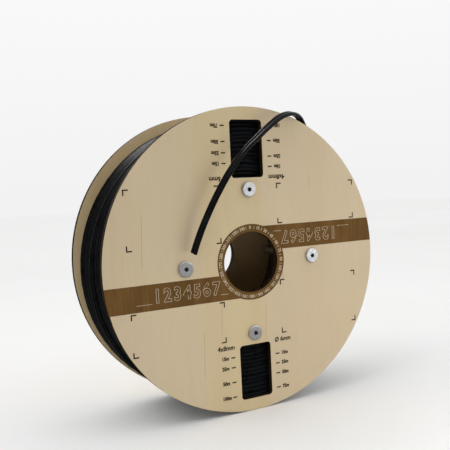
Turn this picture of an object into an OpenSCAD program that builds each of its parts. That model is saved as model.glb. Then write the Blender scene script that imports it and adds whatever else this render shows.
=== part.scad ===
// Wooden cable drum with a full winding of flat twin cable.
// It stands on its rims on the plane z = 0, with its axis along Y and the scaled flange towards -Y.

/* [Flanges] */
// Diameter of both flanges
flange_d = 300; // [298:1:400]
// Thickness of the plywood
flange_t = 6; // [4:0.5:9]
// Clear width between the flanges
inner_w = 88; // [60:1:160]
// Diameter of the axle bore in both flanges
bore_d = 60; // [20:1:72]

/* [Core] */
// Outer diameter of the core tube
core_d = 160; // [156:1:190]
// Wall of the core tube
core_t = 4; // [2:0.5:5]

/* [Winding] */
// Outer diameter of the wound cable
winding_d = 280; // [200:1:282]
// Clearance between the winding and each flange
winding_gap = 0.3; // [0.2:0.1:1]

/* [Cable] */
// Width of the flat twin cable
cable_w = 8; // [6:0.5:9]
// Thickness of the flat twin cable
cable_t = 4; // [2:0.5:4]

/* [Tie bolts] */
// Diameter of the circle that the four tie bolts stand on
bolt_circle_d = 142; // [126:1:144]
// Diameter of the bolt's shank
shank_d = 6; // [4:0.5:6]
// Outer diameter of the barrel of the cap nut
barrel_d = 8; // [7.5:0.5:9]
// Length of the cap nut's barrel
barrel_l = 18; // [12:1:26]
// Diameter of the flat heads
head_d = 15; // [12:0.5:18]
// Thickness of the flat heads
head_t = 2.5; // [1.5:0.25:4]
// Width across the flats of the hexagon sockets
socket_af = 4; // [3:0.5:4.5]

/* [Sight windows] */
// Width of each sight window
window_w = 35; // [20:1:45]
// Height of each sight window
window_h = 55; // [30:1:56]
// Radius of the windows' corners
window_r = 3.5; // [1:0.5:8]
// Distance from the axis to the middle of each window
window_at = 110; // [109:0.5:112]

/* [Engraving] */
// Depth of the engraved band and ring
engraving_depth = 0.3; // [0.1:0.1:1]
// Width of the engraved band
band_w = 24.4; // [10:0.2:26]
// Distance from the axis to the middle line of the band
band_at = 22.4; // [13:0.2:24]
// Outer diameter of the engraved ring round the bore
ring_d = 75; // [73:1:100]
// Width of the dashes' and corner marks' lines
line_w = 0.7; // [0.4:0.1:1.2]
// Length of each dash of the length scales
dash_l = 4; // [2:0.5:5]
// Distance from a sight window's edge to the dashes beside it
dash_gap = 6; // [2:0.5:8]
// Length of the corner marks' arms
corner_l = 5; // [3:0.5:8]
// Distance from the upright middle line to the label fields
field_from = 32; // [28:0.5:33]
// Width of the label fields
field_w = 94.5; // [60:0.5:95]
// Distance from the level middle line to the label fields' far edges
field_far = 76; // [70:0.5:77]
// Height of the two label fields on the band's side
field_short_h = 40; // [25:0.5:40]
// Height of the two other label fields
field_tall_h = 55; // [40:0.5:60]

/* [Hidden] */

axis_z = flange_d / 2;
front_y = -inner_w / 2 - flange_t;
back_y = inner_w / 2 + flange_t;
over = 1;               // how far a cutter runs past the face that it cuts
hole_clearance = 0.4;   // on the diameter of a bolt hole
thread_clearance = 0.2; // on the diameter of the threaded hole in the barrel
seat_clearance = 0.4;   // on the diameter of the winding's bore
socket_depth = 3;
head_chamfer = 0.6;
barrel_wall_end = 3;    // solid end of the barrel under its head
shank_end_gap = 1;
round_fn = 180;
small_fn = 48;

// Distance from the axis to the dashes for 15, 25, 50 and 100 m of flat cable.
flat_cable_marks = [92.5, 102.5, 117.5, 132.5];
// Distance from the axis to the dashes for 15, 25, 50 and 75 m of round cable.
round_cable_marks = [96.5, 106.5, 117, 132];

// Route of the cable's free end: off the winding, over the front flange's rim and down its face.
tail_route = [
    [112, -34, 238], [98.5, -34.5, 254], [84.5, -35.5, 269], [75, -38, 282.6],
    [66, -44.5, 290], [55.7, -52, 292.9], [43.8, -58.5, 292.7], [30.5, -62.5, 288.4],
    [15.2, -64.5, 278.5], [0.5, -66.5, 267.5], [-13.3, -67, 256], [-30, -67, 236],
    [-42.6, -66.3, 217.1], [-53.4, -64.5, 197.2], [-60.8, -61.5, 179.5], [-65.2, -58, 164.8],
];
tail_half_sides = 6;    // corners on each rounded half of the section

// Frame whose +Z runs along the drum's axis, with its origin on the axis at the given y.
module on_axis(y) {
    translate([0, y, axis_z]) rotate([-90, 0, 0]) children();
}

// Children at one station of the bolt circle; 0 degrees is to the right, 90 is up.
module at_bolt(y, angle) {
    on_axis(y) rotate([0, 0, -angle]) translate([bolt_circle_d / 2, 0, 0]) children();
}

module bored_disc(y) {
    on_axis(y) difference() {
        cylinder(d = flange_d, h = flange_t, $fn = round_fn);
        translate([0, 0, -over]) cylinder(d = bore_d, h = flange_t + 2 * over, $fn = round_fn);
    }
}

module bolt_holes(y, hole_d) {
    for (angle = [0 : 90 : 270])
        at_bolt(y - over, angle) cylinder(d = hole_d, h = flange_t + 2 * over, $fn = small_fn);
}

// Rounded opening through the front flange, on the given side of the axis.
module sight_window(side) {
    depth = flange_t + 2 * over;
    translate([0, front_y - over, axis_z + side * window_at]) {
        translate([-window_w / 2 + window_r, 0, -window_h / 2])
            cube([window_w - 2 * window_r, depth, window_h]);
        translate([-window_w / 2, 0, -window_h / 2 + window_r])
            cube([window_w, depth, window_h - 2 * window_r]);
        for (x = [-1, 1], z = [-1, 1])
            translate([x * (window_w / 2 - window_r), 0, z * (window_h / 2 - window_r)])
                rotate([-90, 0, 0]) cylinder(r = window_r, h = depth, $fn = small_fn);
    }
}

// Shallow rectangular cut in the front face, from the corner (x, z) seen from the axis.
module groove(x, z, w, h) {
    translate([x, front_y - over, z]) cube([w, over + engraving_depth, h]);
}

// L-shaped marks in the four corners of a field that starts at (x, z).
module corner_marks(x, z, w, h) {
    for (right = [0, 1], top = [0, 1]) {
        groove(x + right * (w - corner_l), z + top * (h - line_w), corner_l, line_w);
        groove(x + right * (w - line_w), z + top * (h - corner_l), line_w, corner_l);
    }
}

// Half of the front face's marks: the band on the left, and all that lies below the axis.
module half_engraving() {
    groove(-flange_d / 2 - over, -band_at - band_w / 2, flange_d / 2 + over, band_w);
    for (mark = flat_cable_marks)
        groove(-window_w / 2 - dash_gap - dash_l, -mark - line_w / 2, dash_l, line_w);
    for (mark = round_cable_marks)
        groove(window_w / 2 + dash_gap, -mark - line_w / 2, dash_l, line_w);
    corner_marks(-field_from - field_w, -field_far, field_w, field_short_h);
    corner_marks(field_from, -field_far, field_w, field_tall_h);
}

module engraving() {
    for (turn = [0, 180])
        translate([0, 0, axis_z]) rotate([0, turn, 0]) half_engraving();
    on_axis(front_y - over) cylinder(d = ring_d, h = over + engraving_depth, $fn = round_fn);
}

module front_flange() {
    color("burlywood") difference() {
        bored_disc(front_y);
        bolt_holes(front_y, shank_d + hole_clearance);
        sight_window(1);
        sight_window(-1);
        engraving();
    }
}

module back_flange() {
    color("tan") difference() {
        bored_disc(back_y - flange_t);
        bolt_holes(back_y - flange_t, barrel_d + hole_clearance);
    }
}

module core_tube() {
    color("peru") on_axis(-inner_w / 2) difference() {
        cylinder(d = core_d, h = inner_w, $fn = round_fn);
        translate([0, 0, -over])
            cylinder(d = core_d - 2 * core_t, h = inner_w + 2 * over, $fn = round_fn);
    }
}

module cable_winding() {
    width = inner_w - 2 * winding_gap;
    color("#1c1c1e") on_axis(-width / 2) difference() {
        cylinder(d = winding_d, h = width, $fn = round_fn);
        translate([0, 0, -over])
            cylinder(d = core_d + seat_clearance, h = width + 2 * over, $fn = round_fn);
    }
}

// Flat round head that grows from z = 0 down to -head_t, with a chamfered outer edge.
module flat_head() {
    rotate_extrude($fn = small_fn)
        polygon([
            [0, 0], [head_d / 2, 0], [head_d / 2, -head_t + head_chamfer],
            [head_d / 2 - head_chamfer, -head_t], [0, -head_t],
        ]);
}

module hexagon_socket() {
    translate([0, 0, -head_t - over])
        cylinder(d = socket_af / cos(30), h = socket_depth + over, $fn = 6);
}

module tie_bolt(angle) {
    shank_l = back_y - front_y - barrel_wall_end - shank_end_gap;
    color("silver") at_bolt(front_y, angle) difference() {
        union() {
            flat_head();
            cylinder(d = shank_d, h = shank_l, $fn = small_fn);
        }
        hexagon_socket();
    }
}

module cap_nut(angle) {
    color("silver") at_bolt(back_y, angle) rotate([180, 0, 0]) difference() {
        union() {
            flat_head();
            cylinder(d = barrel_d, h = barrel_l, $fn = small_fn);
        }
        hexagon_socket();
        translate([0, 0, barrel_wall_end])
            cylinder(d = shank_d + thread_clearance, h = barrel_l, $fn = small_fn);
    }
}

function unit(v) = v / norm(v);

function tail_along(i) =
    unit(tail_route[min(i + 1, len(tail_route) - 1)] - tail_route[max(i - 1, 0)]);

// Direction of the flat side at ring i, away from the axis and square to the route.
function tail_flat(i) =
    let (
        outward = unit([tail_route[i][0], 0, tail_route[i][2] - axis_z]),
        along = tail_along(i)
    ) unit(outward - along * (outward * along));

// Corners of the flat oval section, as [across, outward] pairs.
tail_section = [
    for (half = [0, 1], k = [0 : tail_half_sides - 1])
        let (
            step = 180 / tail_half_sides,
            angle = half * 180 - 90 + step * (k + 0.5),
            r = cable_t / 2 / cos(step / 2),
            shift = (cable_w - cable_t) / 2 * (1 - 2 * half)
        ) [shift + r * cos(angle), r * sin(angle)]
];

module cable_tail() {
    sides = len(tail_section);
    rings = len(tail_route);
    points = [
        for (i = [0 : rings - 1], corner = tail_section)
            tail_route[i] + cross(tail_along(i), tail_flat(i)) * corner[0] + tail_flat(i) * corner[1]
    ];
    walls = [
        for (i = [0 : rings - 2], k = [0 : sides - 1])
            let (a = i * sides + k, b = i * sides + (k + 1) % sides)
            each [[a, b, b + sides], [a, b + sides, a + sides]]
    ];
    first_end = [for (k = [0 : sides - 1]) sides - 1 - k];
    last_end = [for (k = [0 : sides - 1]) (rings - 1) * sides + k];
    color("#232325") polyhedron(points, concat(walls, [first_end, last_end]), convexity = 4);
}

front_flange();
back_flange();
core_tube();
cable_winding();
tie_bolt(90);  // tie_bolt_top
tie_bolt(0);  // tie_bolt_right
tie_bolt(270);  // tie_bolt_bottom
tie_bolt(180);  // tie_bolt_left
cap_nut(90);  // cap_nut_top
cap_nut(0);  // cap_nut_right
cap_nut(270);  // cap_nut_bottom
cap_nut(180);  // cap_nut_left
cable_tail();
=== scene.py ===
"""Looks of a wooden cable drum with a full winding of flat twin cable.

The file is laid out as an add-on and run as a script. Lengths are in metres.
"""

import math

import bmesh
import bpy
from bpy.props import FloatProperty, FloatVectorProperty, IntProperty, PointerProperty
from mathutils import Matrix, Vector, noise


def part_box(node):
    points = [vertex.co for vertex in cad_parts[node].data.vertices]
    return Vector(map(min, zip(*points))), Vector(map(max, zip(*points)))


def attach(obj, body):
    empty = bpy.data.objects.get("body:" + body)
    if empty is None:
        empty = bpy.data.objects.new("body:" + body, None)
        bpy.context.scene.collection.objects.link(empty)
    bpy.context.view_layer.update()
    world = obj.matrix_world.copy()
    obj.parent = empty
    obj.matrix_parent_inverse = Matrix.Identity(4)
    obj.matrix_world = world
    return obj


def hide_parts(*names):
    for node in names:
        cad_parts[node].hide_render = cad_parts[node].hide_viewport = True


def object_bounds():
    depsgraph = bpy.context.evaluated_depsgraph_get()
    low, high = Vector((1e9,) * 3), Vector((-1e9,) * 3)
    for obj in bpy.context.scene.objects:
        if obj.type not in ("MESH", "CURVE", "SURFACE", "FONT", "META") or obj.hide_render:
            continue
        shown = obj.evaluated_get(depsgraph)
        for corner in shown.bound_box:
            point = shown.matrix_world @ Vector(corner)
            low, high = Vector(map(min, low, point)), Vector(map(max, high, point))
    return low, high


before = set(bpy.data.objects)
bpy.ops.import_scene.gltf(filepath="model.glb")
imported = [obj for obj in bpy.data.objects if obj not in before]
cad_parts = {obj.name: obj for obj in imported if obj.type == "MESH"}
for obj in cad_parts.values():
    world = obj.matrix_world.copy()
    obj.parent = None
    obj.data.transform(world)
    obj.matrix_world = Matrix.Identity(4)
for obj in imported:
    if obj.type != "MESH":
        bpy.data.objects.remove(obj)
CAD_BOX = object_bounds()

bl_info = {
    "name": "Cable Drum",
    "version": (1, 0, 0),
    "blender": (4, 5, 0),
    "location": "3D View > Sidebar > Cable Drum",
    "description": "Builds the looks of a wooden cable drum around its fixed frame",
    "category": "Object",
}

BODY = "root"
FACE_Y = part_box("front_flange")[0].y
BACK_LOW, BACK_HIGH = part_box("back_flange")
WINDING_LOW, WINDING_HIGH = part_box("cable_winding")
CORE_LOW, CORE_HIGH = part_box("core_tube")
AXIS_Z = (BACK_LOW.z + BACK_HIGH.z) / 2
AXIS = Vector((0.0, 0.0, AXIS_Z))
WINDING_R = (WINDING_HIGH.z - WINDING_LOW.z) / 2
CORE_R = (CORE_HIGH.z - CORE_LOW.z) / 2

# Depth of the engraving in the front face, and where its floor lies.
ENGRAVING = 0.0003
ENGRAVED_Y = FACE_Y + ENGRAVING

# Half size of a sight window with its softened edge, and its distance from the axis.
WINDOW_HALF_WIDTH = 0.0178
WINDOW_HALF_HEIGHT = 0.0278
WINDOW_REACH = 0.110

# Angle between faces, in radians, above which an edge counts as sharp.
SHARP = 0.5

SIDES = ("top", "right", "bottom", "left")

# Places of the finishes in the list that the two flanges share.
PALE_FACE, CUT_EDGE, ENGRAVED, INSIDE_FACE, BURNT = range(5)

# Reach of the engraved ring round the bore, and the heights that the engraved band lies between.
RING_REACH = 0.0380
BAND_HEIGHTS = (0.0095, 0.0350)

# Fine splits in the front veneer, each from start to end, as (x, z) from the axis.
VENEER_SPLITS = (
    ((-0.0344, -0.0300), (-0.0366, -0.0700)), ((0.0145, -0.0420), (0.0125, -0.0815)),
    ((0.0720, 0.0840), (0.0712, 0.0650)), ((-0.1104, 0.0560), (-0.1134, 0.0020)),
    ((-0.0550, -0.0600), (-0.0572, -0.1100)),
)
SPLIT_WIDTH = 0.00032

# Length marks beside a window, as distance from the axis and number.
FLAT_CABLE_MARKS = ((0.0925, "15m"), (0.1025, "25m"), (0.1175, "50m"), (0.1325, "100m"))
ROUND_CABLE_MARKS = ((0.0965, "15m"), (0.1065, "25m"), (0.1170, "50m"), (0.1320, "75m"))

# Route of the cable's free end: off the winding, over the front flange's rim and down its face.
TAIL_ROUTE = [
    (0.112, -0.034, 0.238), (0.0985, -0.0345, 0.254), (0.0845, -0.0355, 0.269),
    (0.075, -0.038, 0.2826), (0.066, -0.0445, 0.290), (0.0557, -0.052, 0.2929),
    (0.0438, -0.0585, 0.2927), (0.0305, -0.0625, 0.2884), (0.0152, -0.0645, 0.2785),
    (0.0005, -0.0665, 0.2675), (-0.0133, -0.067, 0.256), (-0.030, -0.067, 0.236),
    (-0.0426, -0.0663, 0.2171), (-0.0534, -0.0645, 0.1972), (-0.0608, -0.0615, 0.1795),
    (-0.0652, -0.058, 0.1648),
]
# To the right of this place the free end still has the dull surface of the winding.
TAIL_DULL_FROM_X = 0.078


def length_setting(name, description, default):
    """A setting in metres."""
    return FloatProperty(name=name, description=description, default=default, unit="LENGTH")


def angle_setting(name, description, degrees):
    """A setting that is an angle, with its default given in degrees."""
    return FloatProperty(
        name=name, description=description, default=math.radians(degrees), subtype="ANGLE"
    )


def power_setting(name, description, default):
    """A setting in watts."""
    return FloatProperty(name=name, description=description, default=default, unit="POWER")


def colour_setting(name, description, default):
    """A setting that is a colour."""
    return FloatVectorProperty(
        name=name, description=description, default=default, subtype="COLOR", size=4
    )


class DrumCamera(bpy.types.PropertyGroup):
    """Where the camera stands and what it looks at."""

    azimuth: angle_setting(
        "Azimuth",
        "Direction that the camera stands in, round the drum, from straight in front",
        -30.232,
    )
    elevation: angle_setting(
        "Elevation", "Height of the camera above the level of its aim, as an angle", 7.345
    )
    roll: angle_setting("Roll", "Turn of the camera about its own line of sight", -2.506)
    distance: length_setting("Distance", "Distance from the camera to its aim", 0.6653)
    aim: FloatVectorProperty(
        name="Aim",
        description="Aim on the front face, measured from the drum's axis",
        default=(0.0127, 0.0, -0.0069),
        subtype="TRANSLATION",
        unit="LENGTH",
    )
    lens: FloatProperty(
        name="Lens",
        description="Focal length in millimetres on a 36 mm sensor",
        default=53.485,
        min=10.0,
    )
    shift: FloatVectorProperty(
        name="Shift",
        description="Sideways and upward shift of the picture, in parts of its width",
        size=2,
        default=(-0.0844, 0.0947),
    )


class DrumCable(bpy.types.PropertyGroup):
    """Sizes and finish of the flat twin cable."""

    width: length_setting("Width", "Width of the flat twin cable", 0.008)
    thickness: length_setting("Thickness", "Thickness of the flat twin cable", 0.004)
    web: length_setting("Web", "Thickness of the web between the two cores", 0.0014)
    lobe_corners: IntProperty(
        name="Lobe Corners",
        description="Corners round each rounded half of the section",
        default=10,
        min=5,
    )
    tail_length: length_setting(
        "Free Length", "Length of the free end from the winding to its cut", 0.275
    )
    sag: length_setting(
        "Sag", "How far the loose outer turns hang off the winding on the low side", 0.0083
    )
    sag_side: angle_setting("Sag Direction", "Direction of the greatest sag round the axis", 225.0)
    colour: colour_setting(
        "Jacket Colour", "Colour of the plastic jacket", (0.0036, 0.0040, 0.0046, 1.0)
    )


class DrumWood(bpy.types.PropertyGroup):
    """Finish of the plywood flanges."""

    veneer: colour_setting("Veneer", "Colour of the pale face veneer", (0.590, 0.482, 0.316, 1.0))
    # The inner veneer is yellower than the face veneer and is also painted lighter, as painted light
    # against the shade between the flanges.
    inner_veneer: colour_setting(
        "Inner Veneer",
        "Colour of the browner veneer between the flanges",
        (0.690, 0.535, 0.312, 1.0),
    )
    warm_veneer: colour_setting(
        "Warm Veneer", "Colour of the yellower strips of veneer", (0.592, 0.476, 0.284, 1.0)
    )
    engraved: colour_setting(
        "Engraved", "Colour of the engraved band and ring", (0.138, 0.073, 0.021, 1.0)
    )
    cut_edge: colour_setting(
        "Cut Edge", "Colour of the burnt cut edges", (0.022, 0.011, 0.006, 1.0)
    )
    edge_softness: length_setting("Edge Softness", "Width of the worn edge of the plywood", 0.0003)


class DrumMarks(bpy.types.PropertyGroup):
    """Sizes of the burnt and engraved numbers."""

    number_height: length_setting(
        "Number Height", "Height of the length numbers beside the sight windows", 0.0035
    )
    number_weight: length_setting(
        "Number Weight", "How far the length numbers are thickened", 0.00028
    )
    narrow: FloatProperty(
        name="Narrowing",
        description="Width of the length and band numbers against their natural width",
        default=0.88,
        min=0.1,
    )
    heading_height: length_setting("Heading Height", "Height of the cable size headings", 0.0045)
    band_height: length_setting(
        "Band Height", "Height of the outlined numbers in the band", 0.01232
    )
    band_weight: length_setting("Band Weight", "How far the outlined numbers are thickened", 0.0007)
    outline: length_setting("Outline", "Width of the line round the outlined numbers", 0.00042)
    ring_height: length_setting(
        "Ring Height", "Height of the numbers in the ring round the bore", 0.0030
    )
    ring_reach: length_setting("Ring Reach", "Distance of the ring's numbers from the axis", 0.0340)
    scorch: length_setting(
        "Scorch", "Half width of the scorched border of the short engraved lines", 0.00027
    )
    proud: length_setting("Mark Height", "How far the burnt marks stand off the face", 0.00004)


class DrumStage(bpy.types.PropertyGroup):
    """Floor and light."""

    floor_radius: length_setting("Floor Radius", "Radius of the round floor", 6.0)
    key_power: power_setting("Key Power", "Power of the large soft light at the front right", 4.5)
    room_level: FloatProperty(
        name="Room Level", description="Brightness of the pale room", default=0.97, min=0.0
    )
    horizon_level: FloatProperty(
        name="Horizon Level",
        description="Brightness of the room just above the floor",
        default=0.89,
        min=0.0,
    )
    side_power: power_setting("Side Power", "Power of the soft light at the left", 4.4)
    gloss_power: power_setting(
        "Gloss Power", "Power of the overhead light that only draws highlights", 18.0
    )
    glint_power: power_setting(
        "Glint Power", "Power of the low light that only draws highlights on the bolt heads", 0.42
    )
    bounce_power: power_setting(
        "Bounce Power",
        "Power of the faint light that the floor throws back on the front face",
        0.85,
    )


# ---- Materials ----


def new_material(name, colour, roughness, metallic=0.0, specular=0.5):
    """A material with its main shader's plain values set, and its node tree and shader."""
    made = bpy.data.materials.new(name)
    made.use_nodes = True
    made.diffuse_color = tuple(colour)
    shader = made.node_tree.nodes["Principled BSDF"]
    shader.inputs["Base Color"].default_value = tuple(colour)
    shader.inputs["Roughness"].default_value = roughness
    shader.inputs["Metallic"].default_value = metallic
    shader.inputs["Specular IOR Level"].default_value = specular
    return made, made.node_tree, shader


def add_node(tree, kind, sockets=None, **settings):
    """A node with its settings and the values or links of its sockets."""
    made = tree.nodes.new(kind)
    for key, value in settings.items():
        setattr(made, key, value)
    for key, value in (sockets or {}).items():
        if isinstance(value, bpy.types.NodeSocket):
            tree.links.new(value, made.inputs[key])
        else:
            made.inputs[key].default_value = value
    return made


def grain_noise(tree, place, stretch, scale, detail=3.0, distortion=0.0):
    """Noise drawn out along the grain, as a value from 0 to 1."""
    mapped = add_node(tree, "ShaderNodeMapping", {"Vector": place, "Scale": stretch})
    made = add_node(
        tree,
        "ShaderNodeTexNoise",
        {
            "Vector": mapped.outputs["Vector"],
            "Scale": scale,
            "Detail": detail,
            "Roughness": 0.6,
            "Distortion": distortion,
        },
    )
    return made.outputs["Fac"]


def level(tree, value, low, high, to_low=0.0, to_high=1.0):
    """A value stretched from one range to another, and held inside it."""
    made = add_node(
        tree,
        "ShaderNodeMapRange",
        {"Value": value, "From Min": low, "From Max": high, "To Min": to_low, "To Max": to_high},
        clamp=True,
    )
    return made.outputs["Result"]


def calculate(tree, operation, first, second=0.0):
    """One step of arithmetic on values."""
    made = add_node(tree, "ShaderNodeMath", {0: first, 1: second}, operation=operation)
    return made.outputs["Value"]


def blend_colours(tree, factor, first, second, mode="MIX"):
    """Two colours mixed by a factor."""
    made = tree.nodes.new("ShaderNodeMix")
    made.data_type = "RGBA"
    made.blend_type = mode
    for index, value in ((0, factor), (6, first), (7, second)):
        socket = made.inputs[index]
        if isinstance(value, bpy.types.NodeSocket):
            tree.links.new(value, socket)
        else:
            socket.default_value = value
    return made.outputs[2]


def mottle(tree, value, low, high, first, second):
    """Two colours blended over the stated range of a noise value."""
    return blend_colours(tree, level(tree, value, low, high), first, second)


def stain(tree, shade, value, low, high, most, tint):
    """A shade taken toward a tint where a noise value is high."""
    return blend_colours(tree, level(tree, value, low, high, 0.0, most), shade, tint, "MULTIPLY")


def toned(colour, amount):
    """A colour made lighter or darker by a factor."""
    return tuple(min(1.0, part * amount) for part in colour[:3]) + (1.0,)


def dress(tree, shader, shade, height, strength, distance=0.0003):
    """Colour and fine relief of a surface."""
    bump = add_node(
        tree, "ShaderNodeBump", {"Height": height, "Strength": strength, "Distance": distance}
    )
    tree.links.new(bump.outputs["Normal"], shader.inputs["Normal"])
    tree.links.new(shade, shader.inputs["Base Color"])


def object_place(tree):
    """The place on the object, in metres."""
    return tree.nodes.new("ShaderNodeTexCoord").outputs["Object"]


def split_place(tree, place):
    """The three parts of a place."""
    parts = add_node(tree, "ShaderNodeSeparateXYZ", {"Vector": place})
    return parts.outputs["X"], parts.outputs["Y"], parts.outputs["Z"]


def check_line(tree, x, z, start, end, width):
    """1 on a fine split in the veneer that runs from start to end, as (x, z), and 0 beside it."""
    lean = (end[0] - start[0]) / (end[1] - start[1])
    middle = calculate(tree, "MULTIPLY_ADD", calculate(tree, "SUBTRACT", z, start[1]), lean)
    middle.node.inputs[2].default_value = start[0]
    off = calculate(tree, "ABSOLUTE", calculate(tree, "SUBTRACT", x, middle))
    near = level(tree, off, width * 0.4, width, 1.0, 0.0)
    low, high = sorted((start[1], end[1]))
    above = level(tree, z, low, low + 0.006)
    below = level(tree, z, high - 0.006, high, 1.0, 0.0)
    return calculate(tree, "MULTIPLY", near, calculate(tree, "MULTIPLY", above, below))


def plain_veneer_finish(name, wood):
    """Browner veneer of the faces inside the drum and at its back. Its colour is yellower than the
    face veneer and is also painted lighter, as painted light against the shade between the flanges.
    """
    made, tree, shader = new_material(name, wood.inner_veneer, 0.65, specular=0.25)
    place = object_place(tree)
    fine = grain_noise(tree, place, (1.0, 1.0, 0.03), 700.0, 3.0)
    broad = grain_noise(tree, place, (1.0, 1.0, 0.12), 26.0, 3.0, 0.9)
    shade = stain(tree, wood.inner_veneer, broad, 0.35, 0.7, 0.7, (0.90, 0.84, 0.74, 1.0))
    shade = stain(tree, shade, fine, 0.5, 0.8, 0.5, (0.86, 0.80, 0.70, 1.0))
    dress(tree, shader, shade, fine, 0.12)
    return made


def veneer_finish(name, wood):
    """Pale rotary-cut veneer with an upright grain, joined strips and fine checks."""
    made, tree, shader = new_material(name, wood.veneer, 0.62, specular=0.3)
    place = object_place(tree)
    x, y, z = split_place(tree, place)
    fine = grain_noise(tree, place, (1.0, 1.0, 0.03), 850.0, 3.0)
    broad = grain_noise(tree, place, (1.0, 1.0, 0.10), 34.0, 3.0, 0.6)
    cloud = grain_noise(tree, place, (1.0, 1.0, 0.35), 11.0, 2.0)
    blush = grain_noise(tree, place, (1.0, 1.0, 0.25), 17.0, 2.0)
    strips = add_node(tree, "ShaderNodeValToRGB", {"Fac": level(tree, x, -0.15, 0.15)})
    strips.color_ramp.interpolation = "EASE"
    stops = strips.color_ramp.elements
    for stop, position in zip(stops, (0.0, 1.0)):
        stop.position = position
        stop.color = tuple(wood.veneer)
    for position, colour in (
        (0.300, wood.veneer), (0.325, wood.warm_veneer), (0.543, wood.warm_veneer),
        (0.547, wood.veneer),
    ):
        stops.new(position).color = tuple(colour)
    shade = stain(tree, strips.outputs["Color"], broad, 0.35, 0.7, 0.40, (0.93, 0.90, 0.85, 1.0))
    shade = stain(tree, shade, cloud, 0.4, 0.65, 0.40, (0.92, 0.89, 0.85, 1.0))
    shade = stain(tree, shade, fine, 0.5, 0.8, 0.30, (0.88, 0.83, 0.75, 1.0))
    shade = stain(tree, shade, blush, 0.42, 0.62, 0.8, (1.0, 0.985, 1.03, 1.0))
    up = calculate(tree, "SUBTRACT", z, AXIS_Z)
    splits = None
    for start, end in VENEER_SPLITS:
        split = check_line(tree, x, up, start, end, SPLIT_WIDTH)
        splits = split if splits is None else calculate(tree, "MAXIMUM", splits, split)
    split_depth = calculate(tree, "MULTIPLY", splits, 0.55)
    shade = blend_colours(tree, split_depth, shade, (0.20, 0.13, 0.07, 1.0))
    dress(tree, shader, shade, fine, 0.10)
    return made


def cut_edge_finish(name, wood):
    """Burnt cut edge of plywood, with its layers showing through."""
    made, tree, shader = new_material(name, wood.cut_edge, 0.85, specular=0.08)
    place = object_place(tree)
    x, y, z = split_place(tree, place)
    layers = calculate(tree, "PINGPONG", y, 0.0024)
    soot = grain_noise(tree, place, (1.0, 0.25, 1.0), 260.0, 3.0)
    showing = level(tree, layers, 0.0010, 0.0014, 0.0, 0.65)
    shade = blend_colours(tree, showing, wood.cut_edge, toned(wood.cut_edge, 2.1))
    shade = stain(tree, shade, soot, 0.35, 0.7, 0.7, (0.45, 0.40, 0.36, 1.0))
    dress(tree, shader, shade, soot, 0.25)
    return made


def engraved_finish(name, wood):
    """Scorched floor of the engraving, mottled, with the grain showing through."""
    made, tree, shader = new_material(name, wood.engraved, 0.85, specular=0.1)
    place = object_place(tree)
    fine = grain_noise(tree, place, (1.0, 1.0, 0.05), 700.0, 3.0)
    cloud = grain_noise(tree, place, (1.0, 1.0, 0.3), 70.0, 3.0)
    dark = toned(wood.engraved, 0.86)
    light = toned(wood.engraved, 1.22)
    shade = mottle(tree, cloud, 0.35, 0.65, dark, light)
    shade = stain(tree, shade, fine, 0.4, 0.7, 0.6, (0.72, 0.66, 0.60, 1.0))
    dress(tree, shader, shade, fine, 0.3)
    return made


def burnt_mark_finish(name):
    """Dark brown scorched number."""
    made, tree, shader = new_material(name, (0.020, 0.011, 0.006, 1.0), 0.9, specular=0.04)
    soot = grain_noise(tree, object_place(tree), (1.0, 1.0, 0.4), 900.0, 2.0)
    shade = mottle(tree, soot, 0.3, 0.7, (0.015, 0.009, 0.005, 1.0), (0.032, 0.019, 0.010, 1.0))
    dress(tree, shader, shade, soot, 0.2, 0.0002)
    return made


def bare_line_finish(name):
    """Unburnt wood of the lines and numbers left standing in the engraving."""
    pale = (0.56, 0.46, 0.32, 1.0)
    made, tree, shader = new_material(name, pale, 0.65, specular=0.25)
    fine = grain_noise(tree, object_place(tree), (1.0, 1.0, 0.3), 1100.0, 2.0)
    shade = mottle(tree, fine, 0.35, 0.7, pale, (0.40, 0.31, 0.20, 1.0))
    dress(tree, shader, shade, fine, 0.1, 0.0002)
    return made


def jacket_finish(name, cable, specular, smooth, rough):
    """Black soft plastic jacket with a faint pebbling and scuffs."""
    made, tree, shader = new_material(name, cable.colour, rough, specular=specular)
    place = object_place(tree)
    pebble = grain_noise(tree, place, (1.0, 1.0, 1.0), 1500.0, 2.0)
    scuff = grain_noise(tree, place, (1.0, 1.0, 1.0), 70.0, 4.0)
    worn = level(tree, scuff, 0.35, 0.7, smooth, rough)
    tree.links.new(worn, shader.inputs["Roughness"])
    shade = mottle(tree, scuff, 0.4, 0.75, cable.colour, toned(cable.colour, 1.9))
    dress(tree, shader, shade, pebble, 0.03, 0.0002)
    return made


def wound_jacket(cable):
    """The duller jacket of the cable that lies in the winding or has just left it."""
    return shared("black_jacket", jacket_finish, cable, 0.042, 0.24, 0.38)


def copper_finish(name):
    """Bright cut copper strands."""
    made, tree, shader = new_material(name, (0.82, 0.42, 0.24, 1.0), 0.35, 1.0)
    place = object_place(tree)
    strands = add_node(tree, "ShaderNodeTexVoronoi", {"Vector": place, "Scale": 2600.0})
    height = strands.outputs["Distance"]
    shade = mottle(tree, height, 0.2, 0.6, (0.86, 0.46, 0.27, 1.0), (0.45, 0.19, 0.10, 1.0))
    dress(tree, shader, shade, height, 0.3, 0.0002)
    return made


def zinc_finish(name, tone):
    """Zinc plating on turned steel, or, at a low tone, steel painted dark as the shade inside a
    socket.
    """
    plain = (tone, tone, tone * 1.01, 1.0)
    made, tree, shader = new_material(name, plain, 0.3, 1.0)
    place = object_place(tree)
    cloud = grain_noise(tree, place, (1.0, 1.0, 1.0), 320.0, 3.0)
    fine = grain_noise(tree, place, (1.0, 1.0, 1.0), 2200.0, 2.0)
    tree.links.new(level(tree, cloud, 0.3, 0.7, 0.24, 0.38), shader.inputs["Roughness"])
    clouded = (tone * 0.78, tone * 0.77, tone * 0.77, 1.0)
    dress(tree, shader, mottle(tree, cloud, 0.35, 0.7, plain, clouded), fine, 0.08, 0.0002)
    return made


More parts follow.
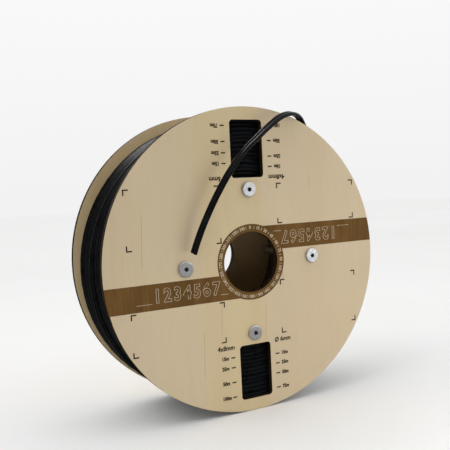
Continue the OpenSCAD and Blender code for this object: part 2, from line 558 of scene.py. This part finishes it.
def cardboard_finish(name):
    """Brown wound cardboard with its spiral seam."""
    made, tree, shader = new_material(name, (0.17, 0.135, 0.105, 1.0), 0.85, specular=0.15)
    place = object_place(tree)
    x, y, z = split_place(tree, place)
    turn = calculate(tree, "ARCTAN2", calculate(tree, "SUBTRACT", z, AXIS_Z), x)
    along = calculate(tree, "DIVIDE", y, 0.070)
    spiral = calculate(tree, "ADD", calculate(tree, "DIVIDE", turn, 2.0 * math.pi), along)
    seam = calculate(tree, "PINGPONG", spiral, 0.5)
    fibre = grain_noise(tree, place, (1.0, 0.3, 1.0), 500.0, 4.0)
    shade = mottle(tree, fibre, 0.35, 0.7, (0.17, 0.135, 0.105, 1.0), (0.12, 0.093, 0.070, 1.0))
    dark_seam = level(tree, seam, 0.0, 0.012, 0.8, 0.0)
    shade = blend_colours(tree, dark_seam, shade, (0.06, 0.035, 0.02, 1.0))
    dress(tree, shader, shade, fibre, 0.25)
    return made


def floor_finish(name):
    """Plain pale floor."""
    made, tree, shader = new_material(name, (0.80, 0.80, 0.79, 1.0), 0.85, specular=0.1)
    cloud = grain_noise(tree, object_place(tree), (1.0, 1.0, 1.0), 2.5, 3.0)
    shade = mottle(tree, cloud, 0.3, 0.7, (0.90, 0.90, 0.895, 1.0), (0.88, 0.88, 0.875, 1.0))
    tree.links.new(shade, shader.inputs["Base Color"])
    return made


def shared(name, maker, *settings):
    """A finish used by several pieces, made once."""
    return bpy.data.materials.get(name) or maker(name, *settings)


# ---- Shapes ----


def place_piece(name, bm, materials, slot=None, smooth_below=20.0):
    """A finished piece made from a bmesh, smooth up to the given angle between faces."""
    mesh = bpy.data.meshes.new(name)
    bm.to_mesh(mesh)
    bm.free()
    for material in materials:
        mesh.materials.append(material)
    mesh.shade_smooth()
    mesh.set_sharp_from_angle(angle=math.radians(smooth_below))
    piece = bpy.data.objects.new(name, mesh)
    bpy.context.scene.collection.objects.link(piece)
    if slot:
        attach(piece, BODY)
    return piece


def merged_copy(node):
    """A bmesh of a frame node with its loose triangles joined and its flat faces made whole."""
    bm = bmesh.new()
    bm.from_mesh(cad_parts[node].data)
    bmesh.ops.remove_doubles(bm, verts=bm.verts, dist=0.000002)
    bmesh.ops.dissolve_limit(
        bm, angle_limit=math.radians(0.2), verts=bm.verts[:], edges=bm.edges[:]
    )
    for face in bm.faces:
        face.material_index = 0
    return bm


def soften(bm, edges, width, segments=2):
    """Rounded edges of the given width."""
    bmesh.ops.bevel(
        bm, geom=edges, offset=width, offset_type="OFFSET", affect="EDGES", segments=segments,
        profile=0.5, material=-1, clamp_overlap=True,
    )


def sharp_edges(bm):
    """The edges where two faces meet at a clear angle."""
    return [edge for edge in bm.edges if edge.calc_face_angle(0.0) > SHARP]


def add_block(bm, place, size):
    """Adds a block of the given size, centred on its place."""
    block = bmesh.ops.create_cube(bm, size=1.0)
    shape = place @ Matrix.Diagonal((*size, 1.0))
    bmesh.ops.transform(bm, matrix=shape, verts=block["verts"])


def is_engraving(face):
    """True for the floor and the walls of the marks cut into the front face."""
    depths = [vert.co.y for vert in face.verts]
    return max(depths) < ENGRAVED_Y + 0.00002 and max(depths) > FACE_Y + 0.0001


def is_short_mark(part):
    """True for an edge or a face of the short lines, and False for the long band and the ring."""
    points = [vert.co for vert in part.verts]
    near = max(math.hypot(point.x, point.z - AXIS_Z) for point in points) < RING_REACH
    heights = [math.copysign(point.z - AXIS_Z, point.x * (point.z - AXIS_Z)) for point in points]
    in_band = min(heights) > BAND_HEIGHTS[0] and max(heights) < BAND_HEIGHTS[1]
    if isinstance(part, bmesh.types.BMFace):
        short = part.calc_area() < 0.00001
    else:
        short = part.calc_length() < 0.008
    return short and not near and not in_band


def around(radius, angle, y):
    """The point at an angle round the drum's axis; 0 is to the right and 90 degrees is up."""
    return Vector((radius * math.cos(angle), y, AXIS_Z + radius * math.sin(angle)))


def wavering(*place):
    """Smooth noise from -1 to 1."""
    return noise.noise(Vector(place))


def ease(value, start, end):
    """Rises smoothly from 0 to 1 while the value goes from start to end."""
    part = max(0.0, min(1.0, (value - start) / (end - start)))
    return part * part * (3.0 - 2.0 * part)


def standing_out(y):
    """How far the turn at this place stands out of the outermost layer, from 0 to 1."""
    return ease(y, -0.001, 0.003) * ease(y, 0.013, 0.009)


def cable_section(cable):
    """Corners of the figure-eight section, in order, as (across, outward) pairs."""
    radius = cable.thickness / 2
    shift = cable.width / 2 - radius
    opening = math.pi - math.asin(cable.web / 2 / radius)
    corners = []
    for half in (0, 1):
        for k in range(cable.lobe_corners):
            turn = -opening + 2 * opening * k / (cable.lobe_corners - 1) + half * math.pi
            side = shift if half == 0 else -shift
            corners.append((side + radius * math.cos(turn), radius * math.sin(turn)))
    return corners


def sweep(bm, corners, stations):
    """A closed solid that carries a section along stations of (centre, across, outward)."""
    grid = bmesh.ops.create_grid(
        bm, x_segments=len(corners), y_segments=len(stations) - 1, size=1.0
    )
    row = len(corners) + 1
    for index, vert in enumerate(grid["verts"]):
        centre, across, outward = stations[index // row]
        step, lift = corners[index % row % len(corners)]
        vert.co = centre + across * step + outward * lift
    made = grid["verts"]
    bmesh.ops.remove_doubles(bm, verts=made, dist=0.0000005)
    ends = [edge for vert in made if vert.is_valid for edge in vert.link_edges if edge.is_boundary]
    bmesh.ops.holes_fill(bm, edges=list(set(ends)), sides=0)
    faces = {face for vert in made if vert.is_valid for face in vert.link_faces}
    bmesh.ops.recalc_face_normals(bm, faces=list(faces))


def smooth_route(points, steps):
    """Points of an even curve through the route."""
    padded = [2 * points[0] - points[1]] + points + [2 * points[-1] - points[-2]]
    made = []
    for i in range(len(points) - 1):
        a, b, c, d = padded[i : i + 4]
        for k in range(steps):
            t = k / steps
            bend = 2 * a - 5 * b + 4 * c - d
            made.append(
                0.5 * (2 * b + (c - a) * t + bend * t * t + (3 * b - a - 3 * c + d) * t * t * t)
            )
    made.append(points[-1].copy())
    return made


def tail_stations():
    """Centre, across and outward directions along the free end of the cable."""
    points = smooth_route([Vector(p) for p in TAIL_ROUTE], 6)
    stations = []
    for i, point in enumerate(points):
        along = (points[min(i + 1, len(points) - 1)] - points[max(i - 1, 0)]).normalized()
        outward = Vector((point.x, 0.0, point.z - AXIS_Z)).normalized()
        wish = outward + Vector((0.0, -0.25 * ease(i / 6.0, 4.5, 7.0), 0.0))
        flat = (wish - along * wish.dot(along)).normalized()
        stations.append((point, along.cross(flat), flat))
    return stations


def text_shape(bm, words, height, depth, place, bold=0.0, squeeze=1.0):
    """Adds a line of plain characters, centred, as closed solids at their place."""
    curve = bpy.data.curves.new("characters", "FONT")
    curve.body = words
    curve.size = height / 0.70
    curve.align_x = "CENTER"
    curve.align_y = "CENTER"
    curve.extrude = depth / 2
    curve.offset = bold
    curve.resolution_u = 3
    holder = bpy.data.objects.new("characters", curve)
    bpy.context.scene.collection.objects.link(holder)
    graph = bpy.context.evaluated_depsgraph_get()
    mesh = bpy.data.meshes.new_from_object(holder.evaluated_get(graph))
    mesh.transform(place @ Matrix.Diagonal((squeeze, 1.0, 1.0, 1.0)))
    bm.from_mesh(mesh)
    bpy.data.objects.remove(holder)
    bpy.data.curves.remove(curve)
    bpy.data.meshes.remove(mesh)


def on_face(x, z, y, turn=0.0):
    """Matrix that lays a flat drawing on the front face, upright, around (x, z) from the axis."""
    spin = Matrix.Rotation(turn, 4, "Y")
    lay = Matrix.Rotation(math.radians(90.0), 4, "X")
    return Matrix.Translation((0.0, 0.0, AXIS_Z)) @ spin @ Matrix.Translation((x, y, z)) @ lay


# ---- Operators ----


class DRUM_OT_camera(bpy.types.Operator):
    """Places the camera in front of the drum"""

    bl_idname = "drum.camera"
    bl_label = "Camera"

    def execute(self, context):
        settings = context.scene.drum_camera
        data = bpy.data.cameras.new("camera")
        data.lens = settings.lens
        data.sensor_width = 36.0
        data.shift_x = settings.shift[0]
        data.shift_y = settings.shift[1]
        data.clip_start = 0.01
        data.clip_end = 50.0
        camera = bpy.data.objects.new("camera", data)
        context.scene.collection.objects.link(camera)
        across = math.cos(settings.elevation)
        back = Vector((
            math.sin(settings.azimuth) * across,
            -math.cos(settings.azimuth) * across,
            math.sin(settings.elevation),
        ))
        aim = Vector((0.0, FACE_Y, AXIS_Z)) + Vector(settings.aim)
        camera.location = aim + back * settings.distance
        look = (-back).to_track_quat("-Z", "Y").to_matrix()
        turned = look @ Matrix.Rotation(settings.roll, 3, "Z")
        camera.rotation_euler = turned.to_euler()
        context.scene.camera = camera
        return {"FINISHED"}


class DRUM_OT_tail(bpy.types.Operator):
    """Builds the cable's free end, from the winding over the front rim and down the face"""

    bl_idname = "drum.tail"
    bl_label = "Cable Free End"

    def execute(self, context):
        cable = context.scene.drum_cable
        stations = tail_stations()
        bm = bmesh.new()
        sweep(bm, cable_section(cable), stations)
        glossy = shared("glossy_jacket", jacket_finish, cable, 0.11, 0.14, 0.19)
        for face in bm.faces:
            face.material_index = 1 if face.calc_center_median().x > TAIL_DULL_FROM_X else 0
        tail = place_piece("free_end", bm, [glossy, wound_jacket(cable)], "cable_jacket", 50.0)
        ends = bmesh.new()
        centre, across, outward = stations[-1]
        along = outward.cross(across).normalized()
        if along.dot(centre - stations[-2][0]) < 0:
            along = -along
        shift = (cable.width - cable.thickness) / 2
        for side in (-1, 1):
            turn = along.to_track_quat("Z", "Y").to_matrix().to_4x4()
            at = Matrix.Translation(centre + across * shift * side - along * 0.0006) @ turn
            cut = bmesh.ops.create_cone(
                ends, cap_ends=True, segments=20, radius1=0.00085, radius2=0.00085, depth=0.0016,
                matrix=at,
            )
            rim = [edge for vert in cut["verts"] for edge in vert.link_edges]
            sharp = [edge for edge in set(rim) if edge.calc_face_angle(0.0) > 1.0]
            soften(ends, sharp, 0.00015)
        copper = shared("cut_copper", copper_finish)
        cores = place_piece("conductor_ends", ends, [copper], "cable_jacket")
        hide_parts("cable_tail")
        return {"FINISHED"}


class DRUM_OT_flanges(bpy.types.Operator):
    """Finishes the two plywood flanges with veneer faces, burnt edges and the engraving"""

    bl_idname = "drum.flanges"
    bl_label = "Flanges"

    def execute(self, context):
        wood = context.scene.drum_wood
        finishes = [
            shared("face_veneer", veneer_finish, wood),
            shared("burnt_cut_edge", cut_edge_finish, wood),
            shared("engraved_brown", engraved_finish, wood),
            shared("plain_veneer", plain_veneer_finish, wood),
            shared("burnt_mark", burnt_mark_finish),
        ]
        for node, name, slot in (
            ("front_flange", "front_disc", "front_plywood"),
            ("back_flange", "back_disc", "back_plywood"),
        ):
            bm = merged_copy(node)
            sharp = [
                edge for edge in sharp_edges(bm)
                if not any(is_engraving(face) for face in edge.link_faces)
            ]
            soften(bm, sharp, wood.edge_softness)
            for face in bm.faces:
                face.material_index = self.finish_of(face, node == "front_flange")
            disc = place_piece(name, bm, finishes, slot)
            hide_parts(node)
        return {"FINISHED"}

    def finish_of(self, face, in_front):
        """The finish that belongs to a face, as its place in the list."""
        middle = face.calc_center_median()
        if in_front and is_engraving(face):
            return BURNT if is_short_mark(face) else ENGRAVED
        if abs(face.normal.y) < 0.8:
            aside = abs(middle.x) < WINDOW_HALF_WIDTH
            along = abs(abs(middle.z - AXIS_Z) - WINDOW_REACH) < WINDOW_HALF_HEIGHT
            return BURNT if in_front and aside and along else CUT_EDGE
        return INSIDE_FACE if middle.y > FACE_Y + 0.001 else PALE_FACE


class DRUM_OT_marks(bpy.types.Operator):
    """Adds the length numbers, the outlined numbers of the band and the ring's dial"""

    bl_idname = "drum.marks"
    bl_label = "Marks"

    def execute(self, context):
        marks = context.scene.drum_marks
        self.scorched_borders(marks)
        self.length_numbers(marks)
        self.band_numbers(marks)
        self.ring_dial(marks)
        return {"FINISHED"}

    def scorched_borders(self, marks):
        """A narrow scorched border over both edges of every short engraved line."""
        face = merged_copy("front_flange")
        bm = bmesh.new()
        width = 2 * marks.scorch
        for edge in face.edges:
            walls = [other for other in edge.link_faces if is_engraving(other)]
            start, end = (vert.co for vert in edge.verts)
            if len(walls) != 1 or max(start.y, end.y) > FACE_Y + 0.00002 or not is_short_mark(edge):
                continue
            run = end - start
            turn = Matrix.Rotation(math.atan2(run.z, run.x), 4, "Z")
            middle = (start + end) / 2
            y = FACE_Y - marks.proud / 2 + 0.00005
            at = on_face(middle.x, middle.z - AXIS_Z, y) @ turn
            add_block(bm, at, (run.length + width, width, marks.proud + 0.0001))
        face.free()
        burnt = shared("burnt_mark", burnt_mark_finish)
        place_piece("scorched_borders", bm, [burnt], "front_plywood")

    def length_numbers(self, marks):
        """The numbers beside the windows and the cable sizes that head them."""
        bm = bmesh.new()
        depth = marks.proud + 0.0002
        y = FACE_Y - marks.proud + depth / 2
        height = marks.number_height
        for turn in (0.0, math.pi):
            for x, column in ((-0.0342, FLAT_CABLE_MARKS), (0.0340, ROUND_CABLE_MARKS)):
                for reach, words in column:
                    at = on_face(x, -reach, y, turn)
                    text_shape(bm, words, height, depth, at, marks.number_weight, marks.narrow)
            for x, words in ((-0.0326, "4x8mm"), (0.0323, "Ø 6mm")):
                at = on_face(x, -0.0822, y, turn)
                text_shape(bm, words, marks.heading_height, depth, at, bold=0.00022, squeeze=0.95)
        burnt = shared("burnt_mark", burnt_mark_finish)
        place_piece("length_numbers", bm, [burnt], "front_plywood")

    def band_numbers(self, marks):
        """The outlined numbers and the two lines in each half of the band."""
        bm = bmesh.new()
        for turn in (0.0, math.pi):
            for k in range(7):
                at = on_face(-0.1000 + 0.0100 * k, -0.0224, ENGRAVED_Y, turn)
                self.outlined_number(bm, str(k + 1), marks, at)
            for start, end in ((-0.1205, -0.1055), (-0.0355, -0.0270)):
                at = on_face((start + end) / 2, -0.0285, (FACE_Y + ENGRAVED_Y) / 2, turn)
                add_block(bm, at, (end - start, 0.0004, ENGRAVING))
        bare = shared("bare_line", bare_line_finish)
        place_piece("band_numbers", bm, [bare], "front_plywood")

    def outlined_number(self, bm, words, marks, at):
        """Adds the outline of a number, standing up from the band's floor to the face."""
        flat = Matrix.Identity(4)
        glyph = bmesh.new()
        text_shape(glyph, words, marks.band_height, 0.0, flat, marks.band_weight, marks.narrow)
        bmesh.ops.remove_doubles(glyph, verts=glyph.verts, dist=0.00001)
        rings = bmesh.ops.inset_region(
            glyph, faces=glyph.faces[:], thickness=marks.outline, use_boundary=True,
            use_even_offset=True,
        )
        inner = [face for face in glyph.faces if face not in set(rings["faces"])]
        bmesh.ops.delete(glyph, geom=inner, context="FACES")
        up = bmesh.ops.extrude_face_region(glyph, geom=glyph.faces[:])
        moved = [part for part in up["geom"] if isinstance(part, bmesh.types.BMVert)]
        bmesh.ops.translate(glyph, verts=moved, vec=(0.0, 0.0, ENGRAVING))
        bmesh.ops.recalc_face_normals(glyph, faces=glyph.faces)
        bmesh.ops.transform(glyph, matrix=at, verts=glyph.verts)
        holder = bpy.data.meshes.new("glyph")
        glyph.to_mesh(holder)
        glyph.free()
        bm.from_mesh(holder)
        bpy.data.meshes.remove(holder)

    def ring_dial(self, marks):
        """A dial of degrees round the bore, with a tick between each two numbers."""
        bm = bmesh.new()
        middle = (FACE_Y + ENGRAVED_Y) / 2
        for degrees in range(0, 360, 15):
            turn = math.radians(degrees)
            at = on_face(0.0, marks.ring_reach, middle, turn)
            height = marks.ring_height
            text_shape(bm, str(degrees), height, ENGRAVING, at, bold=0.00012, squeeze=0.95)
            tick = on_face(0.0, marks.ring_reach, middle, turn + math.radians(7.5))
            add_block(bm, tick, (0.00045, 0.0028, ENGRAVING))
        bare = shared("bare_line", bare_line_finish)
        place_piece("ring_dial", bm, [bare], "front_plywood")


class DRUM_OT_winding(bpy.types.Operator):
    """Builds the winding: its layered ends, and the outermost turns as one laid cable"""

    bl_idname = "drum.winding"
    bl_label = "Cable Winding"

    def execute(self, context):
        cable = context.scene.drum_cable
        bm = bmesh.new()
        self.layers(bm, cable)
        self.outer_turns(bm, cable)
        jacket = wound_jacket(cable)
        winding = place_piece("winding", bm, [jacket], "cable_jacket", 50.0)
        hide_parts("cable_winding")
        return {"FINISHED"}

    def layers(self, bm, cable):
        """The body of the winding, with its layers showing at both ends."""
        radius = cable.thickness / 2
        start_r = CORE_R + 0.0002
        top_r = WINDING_R - cable.thickness
        count = round((top_r - start_r) / cable.thickness)
        pitch = (top_r - start_r) / count
        end_y = WINDING_HIGH.y
        lobes = []
        for k in range(count):
            for step in range(5):
                turn = math.pi * step / 5
                lobe_r = start_r + pitch * (k + 0.5) - pitch / 2 * math.cos(turn)
                lobes.append((lobe_r, radius - radius * math.sin(turn) - end_y))
        outline = [(start_r, radius - end_y)] + lobes
        turns = 22
        wide = 2 * (end_y - radius) / turns
        for k in range(turns):
            for step in range(4):
                turn = math.pi * step / 4
                y = -end_y + radius + wide * (k + 0.5) - wide / 2 * math.cos(turn)
                outline.append((top_r - radius * 0.8 + radius * 0.8 * math.sin(turn), y))
        outline.append((top_r, end_y - radius))
        outline += [(lobe_r, -y) for lobe_r, y in reversed(lobes[1:])]
        outline.append((start_r, end_y - radius))
        verts = [bm.verts.new((r, y, AXIS_Z)) for r, y in outline]
        edges = [bm.edges.new((verts[i - 1], verts[i])) for i in range(len(verts))]
        bmesh.ops.spin(
            bm, geom=verts + edges, cent=AXIS, axis=(0.0, 1.0, 0.0), dvec=(0.0, 0.0, 0.0),
            angle=2 * math.pi, steps=160, use_merge=True, use_normal_flip=False,
            use_duplicate=False,
        )
        bmesh.ops.remove_doubles(bm, verts=bm.verts, dist=0.0000005)
        bmesh.ops.recalc_face_normals(bm, faces=bm.faces)
        for vert in bm.verts:
            flat = Vector((vert.co.x, 0.0, vert.co.z - AXIS_Z))
            reach = flat.length
            turn = math.atan2(flat.z, flat.x)
            depth = (reach - start_r) / (top_r - start_r)
            if depth < 0.001:
                continue
            side = 1.0 if vert.co.y > 0 else -1.0
            layer = math.floor((reach - start_r) / pitch + 0.01)
            round_x = math.cos(turn)
            round_z = math.sin(turn)
            low = max(0.0, math.cos(turn - math.radians(255.0)))
            shift = 0.0032 * depth ** 4 * low ** 1.5
            shift += 0.0011 * wavering(layer * 3.7, 1.3 * round_x + side * 5.0, 1.3 * round_z)
            shift += 0.0006 * wavering(layer * 9.1, 5.0 * round_x + side * 5.0, 5.0 * round_z)
            vert.co += flat.normalized() * shift
            if abs(vert.co.y) > end_y - radius * 1.02:
                back = wavering(layer * 5.3 + 11.0, 1.2 * round_x - side * 9.0, 1.2 * round_z)
                vert.co.y -= side * 0.0022 * ease(back, -0.05, 0.55)

    def outer_turns(self, bm, cable):
        """The outermost layer as one cable, laid from the back to where the free end leaves."""
        end_y = WINDING_HIGH.y - cable.width / 2
        exit_at = Vector(TAIL_ROUTE[0])
        exit_turn = math.atan2(exit_at.z - AXIS_Z, exit_at.x)
        exit_r = math.hypot(exit_at.x, exit_at.z - AXIS_Z)
        laps = 10.2
        start = exit_turn - 2 * math.pi * laps
        steps = int(laps * 72)
        bed = WINDING_R - cable.thickness / 2
        points = []
        for i in range(steps + 1):
            turn = start + 2 * math.pi * laps * i / steps
            lap = (turn - start) / (2 * math.pi)
            left = exit_turn - turn
            y = end_y - 2 * end_y * max(0.0, min(1.0, (lap - 0.45) / 9.0))
            y += 0.0003 * wavering(turn * 0.9, lap, 3.0) * ease(lap, 0.3, 0.8) * ease(left, 0.0, 1.0)
            y += (exit_at.y + end_y) * ease(left, 1.1, 0.0)
            slack = 0.68 + 0.22 * ease(y, -0.002, 0.005) + 0.06 * wavering(lap * 1.7, 8.0, 2.0)
            slack += 0.16 * standing_out(y)
            low = max(0.0, math.cos(turn - cable.sag_side)) ** 1.5
            reach = bed + cable.sag * slack * low + 0.00025 * wavering(turn * 1.3, 1.0, lap)
            reach += (exit_r - bed) * ease(left, 2.2, 0.35)
            if i == steps:
                reach = exit_r
            points.append((turn, around(reach, turn, y)))
        stations = []
        for i, (turn, point) in enumerate(points):
            along = (points[min(i + 1, steps)][1] - points[max(i - 1, 0)][1]).normalized()
            outward = Vector((math.cos(turn), 0.0, math.sin(turn)))
            lean = 0.14 * wavering(turn * 0.8, 6.0, 1.0) * ease(steps - i, 0, 30)
            lean -= 0.3 * standing_out(point.y)
            wish = outward + Vector((0.0, lean, 0.0))
            flat = (wish - along * wish.dot(along)).normalized()
            stations.append((point, along.cross(flat), flat))
        sweep(bm, cable_section(cable), stations)


class DRUM_OT_core(bpy.types.Operator):
    """Finishes the cardboard core tube inside the winding"""

    bl_idname = "drum.core"
    bl_label = "Core Tube"

    def execute(self, context):
        bm = merged_copy("core_tube")
        soften(bm, sharp_edges(bm), 0.0003)
        cardboard = shared("wound_cardboard", cardboard_finish)
        core = place_piece("core", bm, [cardboard], "core_cardboard")
        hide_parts("core_tube")
        return {"FINISHED"}


class DRUM_OT_fittings(bpy.types.Operator):
    """Finishes the four tie bolts and their cap nuts"""

    bl_idname = "drum.fittings"
    bl_label = "Bolts and Cap Nuts"

    def execute(self, context):
        zinc = shared("bright_zinc", zinc_finish, 0.82)
        # The socket's much darker steel is painted shade for the inside of the hole, not a real
        # finish.
        socket_shade_steel = shared("socket_painted_shade", zinc_finish, 0.16)
        for side in SIDES:
            for kind, short in (("tie_bolt", "bolt"), ("cap_nut", "nut")):
                node = f"{kind}_{side}"
                bm = merged_copy(node)
                soften(bm, sharp_edges(bm), 0.00018)
                self.darken_socket(bm, node)
                fitting = place_piece(f"{short}_{side}", bm, [zinc, socket_shade_steel], "zinc_steel")
                flat_ends = fitting.modifiers.new("flat ends", "WEIGHTED_NORMAL")
                flat_ends.weight = 100
                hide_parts(node)
        return {"FINISHED"}

    def darken_socket(self, bm, node):
        """Gives the walls and the floor of the hexagon socket the darker steel, which is painted
        shade for the inside of the hole.
        """
        low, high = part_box(node)
        middle = (low + high) / 2
        outer = low.y if node.startswith("tie_bolt") else high.y
        for face in bm.faces:
            at = face.calc_center_median()
            inside = math.hypot(at.x - middle.x, at.z - middle.z) < 0.0032
            if inside and 0.0006 < abs(at.y - outer) < 0.006:
                face.material_index = 1


class DRUM_OT_stage(bpy.types.Operator):
    """Lays the pale floor and sets the soft light"""

    bl_idname = "drum.stage"
    bl_label = "Stage"

    def execute(self, context):
        settings = context.scene.drum_stage
        scene = context.scene
        scene.view_settings.view_transform = "Standard"
        bm = bmesh.new()
        bmesh.ops.create_circle(bm, cap_ends=True, segments=96, radius=settings.floor_radius)
        bmesh.ops.translate(bm, verts=bm.verts, vec=(0.0, 0.0, CAD_BOX[0].z))
        floor = place_piece("floor", bm, [floor_finish("pale_floor")])
        self.dark_panels()
        self.room(scene, settings)
        low = Vector((0.0, FACE_Y, 0.05))
        for name, aim, azimuth, elevation, distance, size, power, unseen in (
            ("key", AXIS, 44.0, 22.0, 1.9, 1.6, settings.key_power, ""),
            ("side", AXIS, -78.0, 52.0, 1.6, 0.9, settings.side_power, "visible_glossy"),
            ("gloss", AXIS, 205.0, 62.0, 1.1, 0.5, settings.gloss_power, "visible_diffuse"),
            ("glint", AXIS, 41.0, -4.0, 1.25, 0.26, settings.glint_power, "visible_diffuse"),
            ("bounce", low, 20.0, -12.0, 0.38, 0.35, settings.bounce_power, "visible_glossy"),
        ):
            lamp = self.soft_light(name, aim, azimuth, elevation, distance, size, power)
            if unseen:
                setattr(lamp, unseen, False)
        return {"FINISHED"}

    def dark_panels(self):
        """Dark studio panels, never seen themselves, that shade the front and calm reflections."""
        cloth, tree, shader = new_material("dark_cloth", (0.05, 0.05, 0.05, 1.0), 0.9, specular=0.0)
        grey, tree, shader = new_material("grey_cloth", (0.22, 0.22, 0.22, 1.0), 0.9, specular=0.0)
        upright = Matrix.Rotation(math.radians(90.0), 4, "X")
        sideways = Matrix.Rotation(math.radians(90.0), 4, "Z") @ upright
        level_lay = Matrix.Identity(4)
        for name, middle, turn, width, height, only_gloss in (
            ("panel_front", (-0.4, -1.0, 0.60), upright, 1.7, 0.95, False),
            ("panel_left", (-0.75, 0.55, 0.5), sideways, 2.0, 1.4, True),
            ("panel_floor", (0.0, -0.4, CAD_BOX[0].z + 0.002), level_lay, 4.0, 4.0, True),
        ):
            bm = bmesh.new()
            bmesh.ops.create_grid(bm, x_segments=4, y_segments=4, size=0.5)
            size = Matrix.Diagonal((width, height, 1.0, 1.0))
            bmesh.ops.transform(bm, matrix=Matrix.Translation(middle) @ turn @ size, verts=bm.verts)
            panel = place_piece(name, bm, [grey if name == "panel_floor" else cloth])
            panel.visible_camera = False
            panel.visible_diffuse = not only_gloss
            panel.visible_shadow = False
            panel.visible_transmission = False

    def room(self, scene, settings):
        """A pale room, a little darker toward the floor."""
        world = bpy.data.worlds.new("room")
        world.use_nodes = True
        tree = world.node_tree
        direction = tree.nodes.new("ShaderNodeTexCoord").outputs["Generated"]
        parts = add_node(tree, "ShaderNodeSeparateXYZ", {"Vector": direction})
        strength = level(
            tree, parts.outputs["Z"], 0.0, 0.35, settings.horizon_level, settings.room_level
        )
        tree.nodes["Background"].inputs["Color"].default_value = (1.0, 1.0, 1.0, 1.0)
        tree.links.new(strength, tree.nodes["Background"].inputs["Strength"])
        scene.world = world

    def soft_light(self, name, aim, azimuth, elevation, distance, size, power):
        """A round area light, unseen itself, that faces its aim from a direction in degrees."""
        data = bpy.data.lights.new(name, "AREA")
        data.energy = power
        data.shape = "DISK"
        data.size = size
        lamp = bpy.data.objects.new(name, data)
        lamp.visible_camera = False
        bpy.context.scene.collection.objects.link(lamp)
        side = math.radians(azimuth)
        rise = math.radians(elevation)
        away = Vector((
            math.sin(side) * math.cos(rise), -math.cos(side) * math.cos(rise), math.sin(rise)
        ))
        lamp.location = aim + away * distance
        lamp.rotation_euler = (-away).to_track_quat("-Z", "Y").to_euler()
        return lamp


class DRUM_PT_panel(bpy.types.Panel):
    """Lists the drum's pieces and their settings"""

    bl_idname = "DRUM_PT_panel"
    bl_label = "Cable Drum"
    bl_space_type = "VIEW_3D"
    bl_region_type = "UI"
    bl_category = "Cable Drum"

    def draw(self, context):
        layout = self.layout
        for title, group, operators in PANEL_ROWS:
            box = layout.box()
            box.label(text=title)
            settings = getattr(context.scene, group)
            for key in settings.bl_rna.properties.keys():
                if key not in ("rna_type", "name"):
                    box.prop(settings, key)
            for operator in operators:
                box.operator(operator)


PANEL_ROWS = (
    ("Camera", "drum_camera", ("drum.camera",)),
    ("Cable", "drum_cable", ("drum.tail", "drum.winding")),
    ("Wood", "drum_wood", ("drum.flanges", "drum.core")),
    ("Marks", "drum_marks", ("drum.marks",)),
    ("Stage", "drum_stage", ("drum.fittings", "drum.stage")),
)

GROUPS = (
    ("drum_camera", DrumCamera),
    ("drum_cable", DrumCable),
    ("drum_wood", DrumWood),
    ("drum_marks", DrumMarks),
    ("drum_stage", DrumStage),
)

CLASSES = (
    DRUM_OT_camera, DRUM_OT_tail, DRUM_OT_flanges, DRUM_OT_marks, DRUM_OT_winding, DRUM_OT_core,
    DRUM_OT_fittings, DRUM_OT_stage, DRUM_PT_panel,
)


def register():
    for name, group in GROUPS:
        bpy.utils.register_class(group)
        setattr(bpy.types.Scene, name, PointerProperty(type=group))
    for made in CLASSES:
        bpy.utils.register_class(made)


def unregister():
    for made in reversed(CLASSES):
        bpy.utils.unregister_class(made)
    for name, group in reversed(GROUPS):
        delattr(bpy.types.Scene, name)
        bpy.utils.unregister_class(group)


def main():
    register()
    bpy.ops.drum.camera()
    bpy.ops.drum.tail()
    bpy.ops.drum.flanges()
    bpy.ops.drum.marks()
    bpy.ops.drum.winding()
    bpy.ops.drum.core()
    bpy.ops.drum.fittings()
    bpy.ops.drum.stage()


if __name__ == "__main__":
    main()
